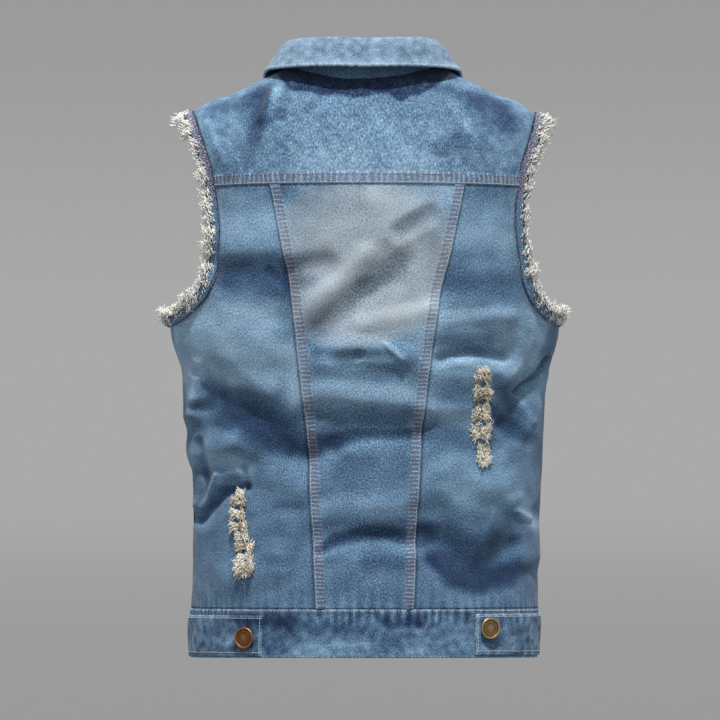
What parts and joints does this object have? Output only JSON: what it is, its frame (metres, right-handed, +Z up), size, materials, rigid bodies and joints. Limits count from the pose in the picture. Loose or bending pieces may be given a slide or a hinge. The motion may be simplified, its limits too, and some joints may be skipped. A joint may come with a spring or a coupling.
{
  "type": "denim vest",
  "caption": "A sleeveless denim trucker vest in its worn, hollow shape, with frayed armholes, a folded collar, slanted back seams, ripped side panels and buttoned waist tabs.",
  "frame": {"origin": "On the middle plane between the shoulders, level with the side points of the neck seam: the point by which the worn vest is held.", "axes": "+Z up, +Y to the wearer's front, +X to the wearer's right (the back, seen in the picture, faces -Y)"},
  "size_m": [0.4448, 0.2422, 0.6714],
  "materials": {
    "washed_denim": "matte",
    "faded_denim": "matte",
    "frayed_cotton": "matte",
    "antique_brass": "worn satin"
  },
  "bodies": {
    "root": {"back_centre": "faded_denim", "back_side_left": "washed_denim", "back_side_right": "washed_denim", "back_yoke": "washed_denim", "front_left": "washed_denim", "front_right": "washed_denim", "waistband_back": "washed_denim", "waistband_front_left": "washed_denim", "waistband_front_right": "washed_denim", "placket_right": "washed_denim", "placket_left": "washed_denim", "tab_left": "washed_denim", "tab_right": "washed_denim", "collar_stand": "washed_denim", "collar_leaf": "washed_denim", "armhole_band_left": "washed_denim", "armhole_band_right": "washed_denim", "button_front_1": "antique_brass", "button_front_2": "antique_brass", "button_front_3": "antique_brass", "button_front_4": "antique_brass", "button_front_5": "antique_brass", "button_front_6": "antique_brass", "button_front_7": "antique_brass", "button_tab_left": "antique_brass", "button_tab_right": "antique_brass", "armhole_fray_left": "frayed_cotton", "armhole_fray_right": "frayed_cotton", "rip_yarn_left": "frayed_cotton", "rip_yarn_right": "frayed_cotton"}
  },
  "joints": []
}
